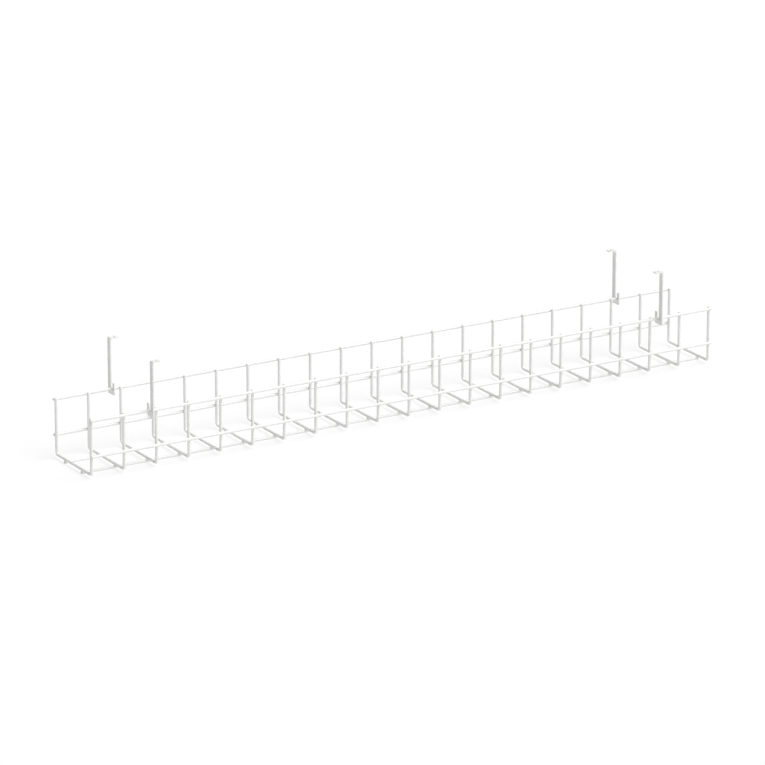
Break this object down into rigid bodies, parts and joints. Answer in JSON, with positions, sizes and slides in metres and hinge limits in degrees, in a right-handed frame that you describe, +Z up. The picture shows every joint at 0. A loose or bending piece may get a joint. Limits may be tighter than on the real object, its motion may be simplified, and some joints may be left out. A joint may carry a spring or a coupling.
{
  "type": "wire mesh cable basket",
  "caption": "Long U-shaped trough of white welded wire mesh that hangs from flat sheet-steel hooks and carries cables under a desk.",
  "frame": {"origin": "middle of the basket in X and Y, on the plane that the two floor wires stand on", "axes": "+X along the basket, +Y to its back row of legs, +Z up towards the screw flanges"},
  "size_m": [1.206, 0.1574, 0.1881],
  "materials": {
    "coated_wire": "smooth white powder coat on steel wire, semi-gloss",
    "coated_sheet": "smooth white powder coat on sheet steel, semi-gloss"
  },
  "bodies": {
    "root": {"wire_basket": "coated_wire", "hanger_back_left": "coated_sheet", "hanger_front_left": "coated_sheet", "hanger_back_right": "coated_sheet", "hanger_front_right": "coated_sheet"}
  },
  "joints": []
}
